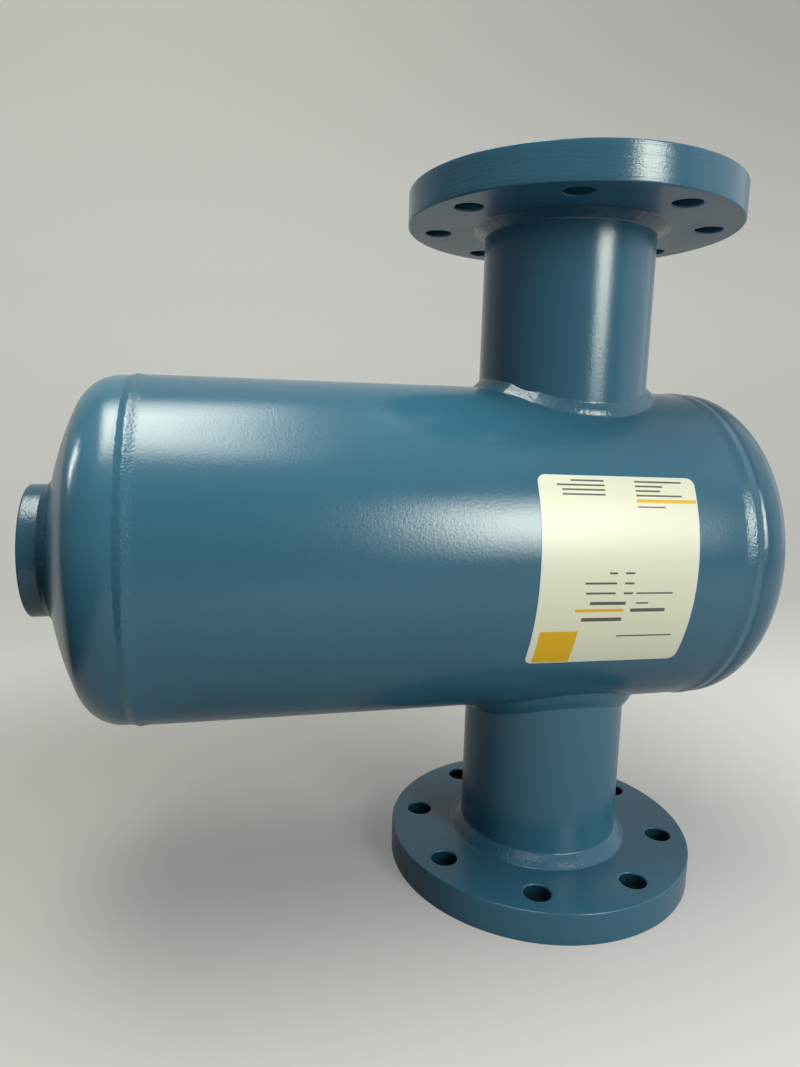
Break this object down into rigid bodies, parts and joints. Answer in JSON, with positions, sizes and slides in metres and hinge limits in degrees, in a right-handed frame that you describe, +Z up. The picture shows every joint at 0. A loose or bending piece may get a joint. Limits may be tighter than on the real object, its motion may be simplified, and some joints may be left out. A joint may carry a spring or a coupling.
{
  "type": "flanged dirt separator",
  "caption": "Welded steel dirt separator with flanged nozzles in line with the pipe run, a dirt chamber and drain at one end, and wound separating elements inside.",
  "frame": {"origin": "centre of the lower flange's face, which rests on the floor", "axes": "+Z up the pipe run through both nozzles, X along the vessel with its drain towards -X, the label on the -Y side"},
  "size_m": [0.4839, 0.2206, 0.475],
  "materials": {
    "enamel": "grey-blue sprayed enamel, satin gloss with a fine orange peel",
    "weld_enamel": "the same enamel over weld beads, with their ripples showing",
    "bare_steel": "bare mill steel",
    "label_film": "pale cream film with a soft gloss"
  },
  "bodies": {
    "root": {"barrel": "enamel", "drain_head": "enamel", "plain_head": "enamel", "lower_nozzle": "enamel", "lower_flange": "enamel", "upper_nozzle": "enamel", "upper_flange": "enamel", "drain_socket": "enamel", "drain_head_seam": "weld_enamel", "plain_head_seam": "weld_enamel", "lower_saddle_weld": "weld_enamel", "lower_hub_weld": "weld_enamel", "lower_face_weld": "weld_enamel", "upper_saddle_weld": "weld_enamel", "upper_hub_weld": "weld_enamel", "upper_face_weld": "weld_enamel", "drain_socket_weld": "weld_enamel", "dirt_end_carrier": "bare_steel", "top_end_carrier": "bare_steel", "element_bar_1": "bare_steel", "element_bar_2": "bare_steel", "element_bar_3": "bare_steel", "element_bar_4": "bare_steel", "element_bar_5": "bare_steel", "element_bar_6": "bare_steel", "element_bar_7": "bare_steel", "element_strip_1": "bare_steel", "element_strip_2": "bare_steel", "element_strip_3": "bare_steel", "element_strip_4": "bare_steel", "element_strip_5": "bare_steel", "element_strip_6": "bare_steel", "element_strip_7": "bare_steel", "label": "label_film"}
  },
  "joints": []
}
